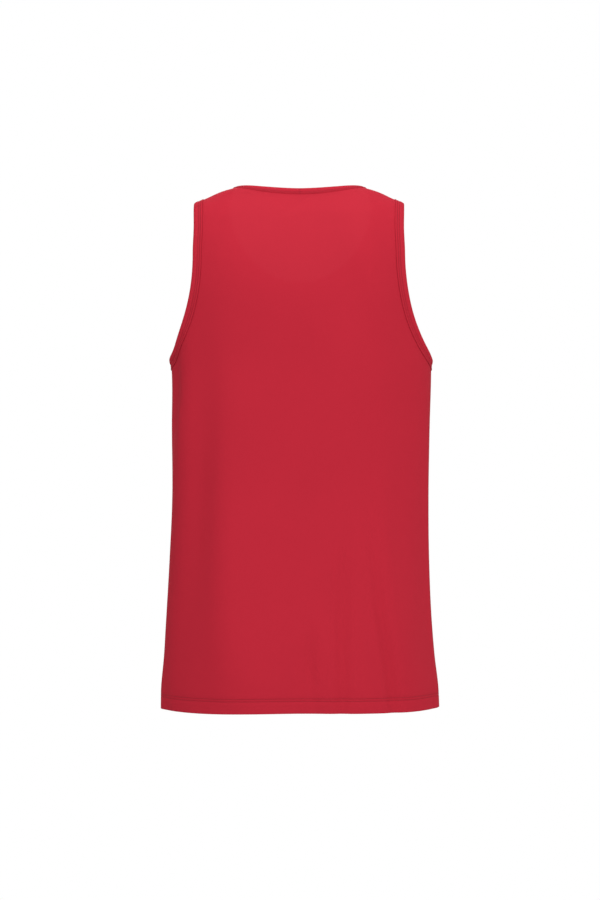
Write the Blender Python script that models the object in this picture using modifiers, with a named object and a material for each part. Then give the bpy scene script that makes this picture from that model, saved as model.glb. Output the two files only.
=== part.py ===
"""Basketball jersey: a sleeveless top of fine knit, filled out as when it is worn, with nobody in it.

Metres, +Z up. The front faces -Y and the wearer's left side is at +X. The origin lies between the
shoulders, level with the middle of the shoulder seams, where the wearer carries the garment.

The jersey is two panels and three bindings. Every point comes from one form, a stack of rounded
sections from the hem to the shoulder seams. A point on it is given as on the flat pattern:
across, the distance round the cloth from the centre line, and climb, the height up the cloth.
"""

import math
from collections import namedtuple

import bpy
import numpy as np
from mathutils.geometry import delaunay_2d_cdt

BACK = 1
FRONT = -1

# Cloth
WALL = 0.0012
HEM_WALL = 0.0022
SEAM_GAP = 0.0003
HEM_DEPTH = 0.0215
HEM_STEP = 0.0015

# Heights above the origin
HEM = -0.7170
UNDERARM = -0.2325

# Sections of the form: rounded oblongs, wider than deep
ROUNDNESS = 2.3
Section = namedtuple("Section", "height half_width back_depth front_depth sway")
SECTIONS = (
    Section(-0.7170, 0.1951, 0.1280, 0.1255, 0.0000),
    Section(-0.6900, 0.1943, 0.1272, 0.1250, 0.0004),
    Section(-0.6454, 0.1896, 0.1250, 0.1242, 0.0010),
    Section(-0.6006, 0.1863, 0.1225, 0.1230, 0.0015),
    Section(-0.5110, 0.1817, 0.1188, 0.1215, 0.0009),
    Section(-0.4214, 0.1793, 0.1165, 0.1215, -0.0006),
    Section(-0.3318, 0.1803, 0.1190, 0.1245, -0.0010),
    Section(-0.2325, 0.1820, 0.1215, 0.1255, -0.0015),
    Section(-0.2150, 0.1828, 0.1213, 0.1246, -0.0004),
    Section(-0.1800, 0.1845, 0.1195, 0.1215, 0.0007),
    Section(-0.1200, 0.1880, 0.1125, 0.1090, 0.0009),
    Section(-0.0800, 0.1850, 0.1030, 0.0950, 0.0012),
    Section(-0.0480, 0.1755, 0.0910, 0.0820, 0.0014),
    Section(-0.0260, 0.1610, 0.0800, 0.0700, 0.0014),
    Section(-0.0141, 0.1480, 0.0715, 0.0615, 0.0013),
    Section(-0.0053, 0.1300, 0.0655, 0.0555, 0.0010),
    Section(0.0069, 0.1000, 0.0590, 0.0490, 0.0006),
    Section(0.0113, 0.0820, 0.0560, 0.0460, 0.0004),
)

# How much lower the cloth hangs at the hem, round each panel from the wearer's right to left
Sag = namedtuple("Sag", "across drop")
HEM_SAG = {
    BACK: (
        Sag(-0.250, -0.0022),
        Sag(-0.150, 0.0004),
        Sag(-0.070, 0.0008),
        Sag(-0.010, 0.0000),
        Sag(0.060, 0.0009),
        Sag(0.120, 0.0019),
        Sag(0.250, 0.0004),
    ),
    FRONT: (
        Sag(-0.250, -0.0022),
        Sag(-0.090, -0.0014),
        Sag(0.040, -0.0006),
        Sag(0.140, 0.0012),
        Sag(0.250, 0.0004),
    ),
}
SAG_HEIGHT = 0.2000

# Shoulder straps and armholes
STRAP_OUTER = 0.1454
STRAP_INNER = 0.0862
ARMHOLE_CURVE_HEIGHT = 0.1462
ARMHOLE_DIP = 0.0013
FRONT_ARMHOLE_HOLLOW = 0.0060

# Neckline
NECK_CAP = 0.0075
BACK_NECK_HEIGHT = 0.0036
BACK_NECK_CURVE = 1.7
BACK_NECK_ROUNDING = 0.23
FRONT_NECK_HALF_WIDTH = 0.0965
FRONT_NECK_TOP = -0.0250
FRONT_NECK_BOTTOM = -0.1276
FRONT_NECK_CURVE = 1.7

# Bindings
BINDING_CLOTH = 0.0010
BINDING_GAP = 0.0003
BINDING_ROLL = 0.0006
ARMHOLE_BINDING_WIDTH = 0.0135
ARMHOLE_BINDING_PUFF = 0.0013
NECK_BINDING_WIDTH = 0.0088
NECK_BINDING_PUFF = 0.0003

# Mesh
HEM_COLUMNS = 34
SIDE_ROWS = 22
ARMHOLE_ROWS = 22
STRAP_COLUMNS = 3
NECK_COLUMNS = {BACK: 20, FRONT: 28}
INNER_ACROSS = 0.0145
INNER_UP = 0.0190
UPPER_CLIMB = 0.2600
CURVE_SAMPLES = 2001

# Folds: soft ridges (rise above 0) and troughs (rise below 0) that run up the cloth
SEAM_FADE = 0.0350
SHOULDER_FADE = 0.0600
Fold = namedtuple("Fold", "low high across_low across_high spread rise")
FOLDS = {
    BACK: (
        Fold(-0.950, 0.049, -0.209, -0.130, 0.0372, -0.0065),
        Fold(-0.674, -0.314, -0.153, -0.133, 0.0236, -0.0065),
        Fold(-0.794, -0.288, -0.128, -0.144, 0.0448, 0.0097),
        Fold(-0.252, 0.060, -0.136, -0.050, 0.0284, 0.0065),
        Fold(-0.875, -0.554, -0.076, -0.033, 0.0450, 0.0065),
        Fold(-0.487, -0.074, 0.044, -0.035, 0.0450, -0.0055),
        Fold(-0.250, -0.012, -0.003, 0.015, 0.0450, 0.0032),
        Fold(-0.574, -0.369, 0.004, 0.012, 0.0310, -0.0015),
        Fold(-0.997, -0.593, -0.025, 0.093, 0.3000, -0.0138),
        Fold(-0.650, -0.466, 0.049, 0.040, 0.0189, 0.0030),
        Fold(-0.723, -0.433, 0.053, 0.041, 0.0366, -0.0065),
        Fold(-0.325, -0.067, 0.073, 0.093, 0.0431, -0.0060),
        Fold(-0.250, -0.001, 0.105, 0.091, 0.0450, 0.0065),
        Fold(-0.950, -0.099, 0.031, 0.191, 0.0600, 0.0115),
        Fold(-0.860, -0.039, 0.124, 0.157, 0.0287, -0.0065),
        Fold(-0.950, 0.016, 0.196, 0.113, 0.0327, -0.0065),
        Fold(-0.408, -0.149, 0.221, 0.193, 0.0191, -0.0052),
    ),
    FRONT: (
        Fold(-0.820, -0.200, -0.124, -0.108, 0.019, -0.0050),
        Fold(-0.860, -0.260, -0.088, -0.080, 0.020, 0.0034),
        Fold(-0.880, -0.360, 0.022, 0.014, 0.020, -0.0030),
        Fold(-0.840, -0.300, 0.066, 0.058, 0.021, 0.0034),
        Fold(-0.780, -0.190, 0.132, 0.116, 0.018, -0.0042),
        Fold(-0.760, -0.220, 0.176, 0.160, 0.018, 0.0028),
        Fold(-0.860, -0.520, -0.030, -0.024, 0.018, 0.0026),
    ),
}

RED = (0.509, 0.022, 0.041)
BINDING_RED = (0.445, 0.018, 0.034)


# The form


def smooth_read(table, key, size, at):
    """One column of a table, read against another on a smooth curve through its rows."""
    keys = np.array([getattr(row, key) for row in table])
    values = np.array([getattr(row, size) for row in table])
    slopes = np.gradient(values, keys)
    at = np.clip(at, keys[0], keys[-1])
    low = np.clip(np.searchsorted(keys, at) - 1, 0, len(keys) - 2)
    step = keys[low + 1] - keys[low]
    share = (at - keys[low]) / step
    rest = 1 - share
    bend = rest * slopes[low] - share * slopes[low + 1]
    line = rest**2 * (1 + 2 * share) * values[low] + share**2 * (1 + 2 * rest) * values[low + 1]
    return line + share * rest * step * bend


def section(size, height):
    """One size of the form's section at a height."""
    return smooth_read(SECTIONS, "height", size, height)


def quarter_turn(half_width, depth):
    """Angles of one quarter of a section, and the length of cloth from the centre line to each."""
    angles = np.linspace(0, math.pi / 2, CURVE_SAMPLES)
    x = half_width * np.sin(angles) ** (2 / ROUNDNESS)
    y = depth * np.cos(angles) ** (2 / ROUNDNESS)
    way = np.concatenate([[0], np.cumsum(np.hypot(np.diff(x), np.diff(y)))])
    return angles, way


CHEST_HALF = float(section("half_width", UNDERARM))
ANGLES, WAY = quarter_turn(CHEST_HALF, float(section("back_depth", UNDERARM)))
QUARTER = WAY[-1]

SHOULDER_HEIGHTS = np.linspace(-0.070, SECTIONS[-1].height, CURVE_SAMPLES)
SHOULDER_WIDTHS = section("half_width", SHOULDER_HEIGHTS)
NECK_SIDE = SECTIONS[-1].half_width


def shoulder_line(x):
    """Height of the shoulder seam at a distance from the middle; level off inside the neck."""
    seam = np.interp(x, SHOULDER_WIDTHS[::-1], SHOULDER_HEIGHTS[::-1])
    cap = NECK_CAP * (1 - np.minimum(x / NECK_SIDE, 1) ** 4)
    return seam + cap


def faded(way, length):
    """Nothing at a seam, rising smoothly to 1 at a length from it."""
    share = np.clip(way / length, 0, 1)
    return share**2 * (3 - 2 * share)


def folds(side, across, height):
    """How far the folds lift the cloth off the form."""
    lift = np.zeros(np.broadcast(across, height).shape)
    for fold in FOLDS[side]:
        share = np.clip((height - fold.low) / (fold.high - fold.low), 0, 1)
        centre = fold.across_low + (fold.across_high - fold.across_low) * share
        lift += fold.rise * np.sin(math.pi * share) ** 2 * np.exp(-(((across - centre) / fold.spread) ** 2))
    return lift


def cloth(side, across, climb):
    """Points of the cloth's outer face, for pattern positions on the back or the front."""
    across, climb = np.broadcast_arrays(np.asarray(across, float), np.asarray(climb, float))
    angle = np.interp(np.abs(across), WAY, ANGLES)
    low = np.minimum(climb, UNDERARM)
    x = section("half_width", low) * np.sin(angle) ** (2 / ROUNDNESS)
    rise = np.clip((climb - UNDERARM) / UPPER_CLIMB, 0, 1)
    z = low + (shoulder_line(x) - UNDERARM) * np.sin(rise * math.pi / 2)
    half = section("half_width", z)
    deep = section("back_depth" if side == BACK else "front_depth", z)
    wide = np.minimum(x / half, 1)
    y = deep * (1 - wide**ROUNDNESS) ** (1 / ROUNDNESS)
    y = np.where(rise >= 1, 0, y)
    lean_x = wide ** (ROUNDNESS - 1) / half
    lean_y = (y / deep) ** (ROUNDNESS - 1) / deep
    fade = faded(QUARTER - np.abs(across), SEAM_FADE) * faded(UNDERARM + UPPER_CLIMB - climb, SHOULDER_FADE)
    lift = fade * folds(side, across, z) / np.hypot(lean_x, lean_y)
    y = np.maximum(y + lift * lean_y, SEAM_GAP / 2)
    x = (x + lift * lean_x) * np.sign(across) + section("sway", z)
    near_hem = np.clip(1 - (z - HEM) / SAG_HEIGHT, 0, 1)
    z = z - near_hem**2 * smooth_read(HEM_SAG[side], "across", "drop", across)
    return np.stack([x, side * y, z], axis=-1)


def outward(side, across, climb, step=1e-3):
    """Unit normals of the cloth, pointing out of the garment."""
    inner = np.asarray(across) - np.sign(across) * step
    here = cloth(side, across, climb)
    round_way = (here - cloth(side, inner, climb)) * np.sign(across)[..., None]
    up_way = here - cloth(side, across, np.asarray(climb) - step)
    normal = -side * np.cross(round_way, up_way)
    return normal / np.linalg.norm(normal, axis=-1, keepdims=True)


def on_pattern(x, height):
    """Pattern position of a point above the underarm, from its distance to the middle and height."""
    angle = np.arcsin(np.minimum(x / CHEST_HALF, 1) ** (ROUNDNESS / 2))
    rise = np.clip((height - UNDERARM) / (shoulder_line(x) - UNDERARM), 0, 1)
    climb = UNDERARM + UPPER_CLIMB * np.arcsin(rise) * 2 / math.pi
    return np.stack([np.interp(angle, ANGLES, WAY), climb], axis=-1)


def evenly(side, curve, count):
    """Points at equal lengths of cloth along a curve of the pattern, with both its ends."""
    steps = np.linalg.norm(np.diff(cloth(side, curve[:, 0], curve[:, 1]), axis=0), axis=1)
    way = np.concatenate([[0], np.cumsum(steps)])
    even = np.linspace(0, way[-1], count + 1)
    return np.stack([np.interp(even, way, curve[:, k]) for k in (0, 1)], axis=-1)


# The pattern's edges, for the half at positive across


def armhole_edge(side):
    """From the underarm in a quarter of an ellipse, then straight up to the shoulder."""
    turn = np.linspace(0, math.pi / 2, CURVE_SAMPLES)
    tip = on_pattern(STRAP_OUTER, UNDERARM)[0]
    curved = (QUARTER - tip) * np.sin(turn)
    curved_height = ARMHOLE_CURVE_HEIGHT * (1 - np.cos(turn))
    top = float(shoulder_line(STRAP_OUTER)) - UNDERARM
    share = np.sin(turn[1:])
    height = np.concatenate([curved_height, ARMHOLE_CURVE_HEIGHT + (top - ARMHOLE_CURVE_HEIGHT) * share])
    inward = np.concatenate([curved, QUARTER - tip + ARMHOLE_DIP * np.sin(math.pi * share) ** 2])
    if side == FRONT:
        inward = inward + FRONT_ARMHOLE_HOLLOW * np.sin(math.pi * height / top) ** 2
    across = QUARTER - inward
    x = CHEST_HALF * np.sin(np.interp(across, WAY, ANGLES)) ** (2 / ROUNDNESS)
    return np.stack([across, on_pattern(x, UNDERARM + height)[:, 1]], axis=-1)


def neck_edge(side):
    """From the shoulder seam to the middle of the back or front neck."""
    turn = np.linspace(0, 1, CURVE_SAMPLES)
    corner = float(shoulder_line(STRAP_INNER))
    if side == BACK:
        out = np.cos(turn * math.pi / 2)
        climb = out**BACK_NECK_CURVE * (1 + BACK_NECK_ROUNDING * (1 - out**8))
        return on_pattern(STRAP_INNER * out, BACK_NECK_HEIGHT + (corner - BACK_NECK_HEIGHT) * climb)
    drop = 1 - turn**2
    x_down = FRONT_NECK_HALF_WIDTH - (FRONT_NECK_HALF_WIDTH - STRAP_INNER) * drop**2
    height_down = FRONT_NECK_TOP + (corner - FRONT_NECK_TOP) * drop
    scoop = np.sin(turn[1:] * math.pi / 2)
    x_scoop = FRONT_NECK_HALF_WIDTH * np.sqrt(1 - scoop**FRONT_NECK_CURVE)
    height_scoop = FRONT_NECK_TOP - (FRONT_NECK_TOP - FRONT_NECK_BOTTOM) * scoop
    return on_pattern(np.concatenate([x_down, x_scoop]), np.concatenate([height_down, height_scoop]))


def mirrored(half):
    """A whole edge across the middle, from its half at positive across that ends at the middle."""
    return np.concatenate([half * (-1, 1), half[-2::-1]])


def leaf_places(side, edge, towards, first, last, width):
    """Pattern positions from an edge into the cloth: on the edge, half-way and a binding's width in."""
    along = np.gradient(edge, axis=0)
    ways = np.stack([-along[:, 1], along[:, 0]], axis=-1)
    ways /= np.linalg.norm(ways, axis=1)[:, None]
    ways *= np.where((ways * towards).sum(axis=1) < 0, -1, 1)[:, None]
    ways[0] = first
    ways[-1] = last
    leaf = []
    for place, way in zip(edge, ways):
        line = place + way * np.linspace(0, 1.6 * width, 33)[:, None]
        steps = np.linalg.norm(np.diff(cloth(side, *line.T), axis=0), axis=1)
        length = np.concatenate([[0], np.cumsum(steps)])
        leaf.append([[np.interp(width * share, length, values) for values in line.T] for share in (0, 0.5, 1)])
    return np.array(leaf)


def armhole_leaf(side):
    """The armhole binding's places on a panel, from the side seam to the shoulder."""
    edge = evenly(side, armhole_edge(side), ARMHOLE_ROWS)
    return leaf_places(side, edge, (-1, -1), (0, -1), (-1, 0), ARMHOLE_BINDING_WIDTH)


def neck_leaf(side):
    """The neck binding's places on a panel, from the shoulder at negative across to the other."""
    edge = evenly(side, mirrored(neck_edge(side)), NECK_COLUMNS[side])
    return leaf_places(side, edge, edge - (0, UNDERARM + UPPER_CLIMB), (-1, 0), (1, 0), NECK_BINDING_WIDTH)


# The panels


def panel_strips(side):
    """Pattern positions of a panel's border strips, in rows that go up and columns to positive across."""
    armhole = armhole_leaf(side)
    neck = neck_leaf(side)
    columns = np.linspace(-QUARTER, QUARTER, HEM_COLUMNS + 1)
    hem_rows = (HEM, HEM + HEM_DEPTH, HEM + HEM_DEPTH + HEM_STEP)
    hem = np.array([np.stack([columns, np.full(len(columns), row)], axis=-1) for row in hem_rows])
    return [hem, armhole[:, ::-1], armhole * (-1, 1), neck[:, ::-1].transpose(1, 0, 2)]


def inner_outline(strips):
    """The closed line round a panel between its border strips, in pattern positions."""
    hem, armhole, _, neck = strips
    seam_heights = np.linspace(hem[-1, -1, 1], armhole[0, 0, 1], SIDE_ROWS + 1)
    seam = np.stack([np.full(SIDE_ROWS + 1, QUARTER), seam_heights], axis=-1)
    strap = np.linspace(armhole[-1, 0], neck[0, -1], STRAP_COLUMNS + 1)
    right = np.concatenate([seam[:-1], armhole[:-1, 0], strap[:-1]])
    return np.concatenate([hem[-1, :-1], right, neck[0, ::-1], (right * (-1, 1))[:0:-1]])


def filled(outline):
    """Triangles that fill a closed line of the pattern, with evenly spaced points inside it."""
    ahead = np.roll(outline, -1, axis=0)
    low, high = outline.min(axis=0), outline.max(axis=0)
    inner = []
    for i, up in enumerate(np.arange(low[1] + INNER_UP, high[1], INNER_UP)):
        first = -QUARTER + INNER_ACROSS * (0.5 if i % 2 else 1)
        for across in np.arange(first, high[0], INNER_ACROSS):
            point = np.array((across, up))
            run = ahead - outline
            share = np.clip(((point - outline) * run).sum(axis=1) / (run**2).sum(axis=1), 0, 1)
            away = np.linalg.norm(outline + run * share[:, None] - point, axis=1).min()
            crossed = (outline[:, 1] > up) != (ahead[:, 1] > up)
            meets = outline[:, 0] + (up - outline[:, 1]) * run[:, 0] / np.where(crossed, run[:, 1], 1)
            if away > 0.6 * INNER_ACROSS and (crossed & (meets > across)).sum() % 2:
                inner.append(point)
    count = len(outline)
    border = [(k, (k + 1) % count) for k in range(count)]
    points, _, faces, *_ = delaunay_2d_cdt([tuple(point) for point in [*outline, *inner]], border, [], 1, 1e-7)
    return np.array([tuple(point) for point in points]), faces


def grid_faces(guide, first, closed):
    """Triangles between neighbouring points of a grid, on the shorter diagonals of a guide grid."""
    rows, columns = guide.shape[:2]
    faces = []
    for i in range(rows if closed else rows - 1):
        for j in range(columns - 1):
            cell = [(i, j), (i, j + 1), ((i + 1) % rows, j + 1), ((i + 1) % rows, j)]
            across = [np.linalg.norm(guide[cell[k]] - guide[cell[k + 2]]) for k in (0, 1)]
            turn = 0 if across[0] <= across[1] else 1
            corners = [first + row * columns + column for row, column in cell[turn:] + cell[:turn]]
            faces += [(corners[0], corners[1], corners[2]), (corners[0], corners[2], corners[3])]
    return faces


def cloth_material(name, colour, roughness):
    """Dyed knit: a rough surface with no gloss."""
    material = bpy.data.materials.new(name)
    material.use_nodes = True
    shader = material.node_tree.nodes["Principled BSDF"]
    shader.inputs["Base Color"].default_value = (*colour, 1)
    shader.inputs["Roughness"].default_value = roughness
    shader.inputs["Metallic"].default_value = 0
    return material


def cloth_object(name, points, faces, flip, colour):
    """An object for an open surface of cloth."""
    mesh = bpy.data.meshes.new(name)
    mesh.from_pydata(points.tolist(), [], [face[::-1] if flip else face for face in faces])
    mesh.shade_smooth()
    mesh.materials.append(cloth_material(name + "_knit", colour, 0.85))
    piece = bpy.data.objects.new(name, mesh)
    COLLECTION.objects.link(piece)
    piece.parent = ORIGIN
    piece.modifiers.new("joined", "WELD").merge_threshold = 1e-6
    return piece


def with_flat_seams(piece, side):
    """Sets the walls at the side and shoulder seams face to face with the other panel's."""
    mesh = bpy.data.meshes.new_from_object(piece.evaluated_get(bpy.context.evaluated_depsgraph_get()))
    piece.modifiers.clear()
    piece.data = mesh
    for vertex in mesh.vertices:
        vertex.co.y = side * max(side * vertex.co.y, SEAM_GAP / 2)


def thickened(piece, thickness, offset):
    """Gives a surface its thickness, inwards for an offset of -1 and outwards for 1."""
    solidify = piece.modifiers.new("wall", "SOLIDIFY")
    solidify.thickness = thickness
    solidify.offset = offset
    solidify.use_even_offset = False
    return solidify


def panel(name, side):
    """One panel, its wall doubled along the turned-up hem."""
    strips = panel_strips(side)
    places, faces = filled(inner_outline(strips))
    for strip in strips:
        guide = cloth(side, strip[..., 0], strip[..., 1])
        faces += grid_faces(guide, len(places), False)
        places = np.concatenate([places, strip.reshape(-1, 2)])
    piece = cloth_object(name, cloth(side, *places.T), faces, side == BACK, RED)
    group = piece.vertex_groups.new(name="wall")
    for index, climb in enumerate(places[:, 1]):
        doubled = climb < HEM + HEM_DEPTH + HEM_STEP / 2
        group.add([index], 1.0 if doubled else WALL / HEM_WALL, "REPLACE")
    thickened(piece, HEM_WALL, -1).vertex_group = "wall"
    with_flat_seams(piece, side)


# The bindings


def strip_points(side, leaf, puff):
    """One station of a binding: the inner face of its fold, from leaf to leaf round the panel's edge."""
    points = cloth(side, leaf[:, 0], leaf[:, 1])
    normals = outward(side, leaf[:, 0], leaf[:, 1])
    clear = BINDING_GAP + puff * np.array([1, 0.35, 0])[:, None]
    free = (points[0] - points[1]) / np.linalg.norm(points[0] - points[1])
    lip = points[0] + free * BINDING_ROLL
    over = points + normals * clear
    fold = [lip + normals[0] * puff / 2, lip - normals[0] * (WALL + puff / 2)]
    under = points - normals * (WALL + clear)
    guide = [*points[::-1], points[0], points[0], *points]
    return [*over[::-1], *fold, *under], guide


def binding(name, leaves, puffs, flip):
    """A folded strip in a ring: along its leaf on the back panel, then back along the front's."""
    stations = []
    for side in (BACK, FRONT):
        found = [strip_points(side, leaf, puff) for leaf, puff in zip(leaves[side], puffs[side])]
        stations += found[:-1] if side == BACK else found[:0:-1]
    points = np.array([points for points, guide in stations])
    guide = np.array([guide for points, guide in stations])
    points[[0, len(leaves[BACK]) - 1], :, 1] = 0
    piece = cloth_object(name, points.reshape(-1, 3), grid_faces(guide, 0, True), flip, BINDING_RED)
    thickened(piece, BINDING_CLOTH, 1)


def armhole_binding(name, hand):
    """A strip round one armhole, that stands off a little more towards the underarm."""
    leaves = {side: armhole_leaf(side) * (hand, 1) for side in (BACK, FRONT)}
    puff = ARMHOLE_BINDING_PUFF * np.linspace(1, 0, ARMHOLE_ROWS + 1) ** 2
    binding(name, leaves, {side: puff for side in (BACK, FRONT)}, hand > 0)


def neck_binding(name):
    """A strip round the neck."""
    leaves = {side: neck_leaf(side) for side in (BACK, FRONT)}
    puffs = {side: np.full(NECK_COLUMNS[side] + 1, NECK_BINDING_PUFF) for side in (BACK, FRONT)}
    binding(name, leaves, puffs, False)


for old in list(bpy.data.objects):
    bpy.data.objects.remove(old)
COLLECTION = bpy.data.collections.new("basketball_jersey")
bpy.context.scene.collection.children.link(COLLECTION)
ORIGIN = bpy.data.objects.new("shoulders", None)
COLLECTION.objects.link(ORIGIN)

panel("back_panel", BACK)
panel("front_panel", FRONT)
neck_binding("neck_binding")
armhole_binding("left_armhole_binding", 1)
armhole_binding("right_armhole_binding", -1)
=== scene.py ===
# %% [markdown]
# # A sleeveless basketball jersey
#
# The real garment is two panels of thin red knit, a back and a front, sewn together at the sides
# and shoulders. A folded strip of the same knit binds the neck and each armhole, and the hem is the
# panels' own edge, turned up inside and held by two rows of stitches.
#
# The packed model gives the frame: its five nodes are the same five pieces, as plain solids. Here
# each one is made again as thin cloth on the same form, with its creases, sewing and knit.

# %% Load the frame
import math
from collections import namedtuple

import bpy
import numpy as np
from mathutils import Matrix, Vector
from mathutils.geometry import delaunay_2d_cdt


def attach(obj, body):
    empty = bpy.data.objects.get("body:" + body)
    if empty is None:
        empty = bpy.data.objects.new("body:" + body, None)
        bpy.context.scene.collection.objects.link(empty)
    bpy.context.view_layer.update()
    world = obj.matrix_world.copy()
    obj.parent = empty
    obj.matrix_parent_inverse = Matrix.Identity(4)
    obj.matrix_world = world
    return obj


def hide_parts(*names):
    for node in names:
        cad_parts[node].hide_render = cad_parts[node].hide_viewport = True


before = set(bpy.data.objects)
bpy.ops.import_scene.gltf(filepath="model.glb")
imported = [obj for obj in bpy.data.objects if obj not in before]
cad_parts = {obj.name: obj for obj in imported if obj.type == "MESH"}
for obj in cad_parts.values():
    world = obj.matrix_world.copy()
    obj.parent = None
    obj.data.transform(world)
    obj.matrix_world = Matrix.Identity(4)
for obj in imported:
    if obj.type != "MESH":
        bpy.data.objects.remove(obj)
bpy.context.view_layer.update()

print("nodes:", sorted(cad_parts))

# %% [markdown]
# ## The form
#
# A garment that is filled out with nobody in it is a stack of rounded sections. A table of sections
# is easier to adjust than sculpted points: each row says how wide and how deep the cloth lies at one
# height. `smooth_read` reads a table's column on a smooth curve, so few rows give a soft form.

# %% Sizes and sections
BACK = 1
FRONT = -1
HEM_DEPTH = 0.0215
HEM = -0.7170
UNDERARM = -0.2325
ROUNDNESS = 2.3

Section = namedtuple("Section", "height half_width back_depth front_depth sway")
SECTIONS = (
    Section(-0.7170, 0.1951, 0.1280, 0.1255, 0.0000),
    Section(-0.6900, 0.1943, 0.1272, 0.1250, 0.0004),
    Section(-0.6454, 0.1896, 0.1250, 0.1242, 0.0010),
    Section(-0.6006, 0.1863, 0.1225, 0.1230, 0.0015),
    Section(-0.5110, 0.1817, 0.1188, 0.1215, 0.0009),
    Section(-0.4214, 0.1793, 0.1165, 0.1215, -0.0006),
    Section(-0.3318, 0.1803, 0.1190, 0.1245, -0.0010),
    Section(-0.2325, 0.1820, 0.1215, 0.1255, -0.0015),
    Section(-0.2150, 0.1828, 0.1213, 0.1246, -0.0004),
    Section(-0.1800, 0.1845, 0.1195, 0.1215, 0.0007),
    Section(-0.1200, 0.1880, 0.1125, 0.1090, 0.0009),
    Section(-0.0800, 0.1850, 0.1030, 0.0950, 0.0012),
    Section(-0.0480, 0.1755, 0.0910, 0.0820, 0.0014),
    Section(-0.0260, 0.1610, 0.0800, 0.0700, 0.0014),
    Section(-0.0141, 0.1480, 0.0715, 0.0615, 0.0013),
    Section(-0.0053, 0.1300, 0.0655, 0.0555, 0.0010),
    Section(0.0069, 0.1000, 0.0590, 0.0490, 0.0006),
    Section(0.0113, 0.0820, 0.0560, 0.0460, 0.0004),
)

Sag = namedtuple("Sag", "across drop")
HEM_SAG = {
    BACK: (
        Sag(-0.250, -0.0010),
        Sag(-0.150, 0.0010),
        Sag(-0.070, 0.0009),
        Sag(-0.010, 0.0004),
        Sag(0.060, 0.0015),
        Sag(0.120, 0.0027),
        Sag(0.250, 0.0016),
    ),
    FRONT: (
        Sag(-0.250, -0.0010),
        Sag(-0.090, -0.0014),
        Sag(0.040, -0.0006),
        Sag(0.140, 0.0012),
        Sag(0.250, 0.0016),
    ),
}
SAG_HEIGHT = 0.2000
UPPER_CLIMB = 0.2600
NECK_CAP = 0.0075
CURVE_SAMPLES = 2001


def smooth_read(table, key, size, at):
    """One column of a table, read against another on a smooth curve through its rows."""
    keys = np.array([getattr(row, key) for row in table])
    values = np.array([getattr(row, size) for row in table])
    slopes = np.gradient(values, keys)
    at = np.clip(at, keys[0], keys[-1])
    low = np.clip(np.searchsorted(keys, at) - 1, 0, len(keys) - 2)
    step = keys[low + 1] - keys[low]
    share = (at - keys[low]) / step
    rest = 1 - share
    bend = rest * slopes[low] - share * slopes[low + 1]
    line = rest**2 * (1 + 2 * share) * values[low] + share**2 * (1 + 2 * rest) * values[low + 1]
    return line + share * rest * step * bend


def section(size, height):
    """One size of the form's section at a height."""
    return smooth_read(SECTIONS, "height", size, height)


print("chest, m:", float(section("half_width", UNDERARM)) * 2)

# %% [markdown]
# ## A pattern laid on the form
#
# Cloth doesn't stretch like rubber, so every place is named as on the flat pattern: `across` is the
# way round from the centre line and `climb` the way up. The same pair then gives a point in space,
# a place on the knit's texture, and where a stitch or a crease lies. It keeps all of them together.

# %% From pattern to space
def quarter_turn(half_width, depth):
    """Angles of one quarter of a section, and the length of cloth from the centre line to each."""
    angles = np.linspace(0, math.pi / 2, CURVE_SAMPLES)
    x = half_width * np.sin(angles) ** (2 / ROUNDNESS)
    y = depth * np.cos(angles) ** (2 / ROUNDNESS)
    return angles, np.concatenate([[0], np.cumsum(np.hypot(np.diff(x), np.diff(y)))])


CHEST_HALF = float(section("half_width", UNDERARM))
ANGLES, WAY = quarter_turn(CHEST_HALF, float(section("back_depth", UNDERARM)))
QUARTER = WAY[-1]
SHOULDER_HEIGHTS = np.linspace(-0.070, SECTIONS[-1].height, CURVE_SAMPLES)
SHOULDER_WIDTHS = section("half_width", SHOULDER_HEIGHTS)
NECK_SIDE = SECTIONS[-1].half_width


def shoulder_line(x):
    """Height of the shoulder seam at a distance from the middle; level off inside the neck."""
    seam = np.interp(x, SHOULDER_WIDTHS[::-1], SHOULDER_HEIGHTS[::-1])
    return seam + NECK_CAP * (1 - np.minimum(x / NECK_SIDE, 1) ** 4)


def on_pattern(x, height):
    """Pattern position of a point above the underarm, from its distance to the middle and height."""
    angle = np.arcsin(np.minimum(x / CHEST_HALF, 1) ** (ROUNDNESS / 2))
    rise = np.clip((height - UNDERARM) / (shoulder_line(x) - UNDERARM), 0, 1)
    climb = UNDERARM + UPPER_CLIMB * np.arcsin(rise) * 2 / math.pi
    return np.stack([np.interp(angle, ANGLES, WAY), climb], axis=-1)


print("a quarter of the chest, m:", round(float(QUARTER), 4))
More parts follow.
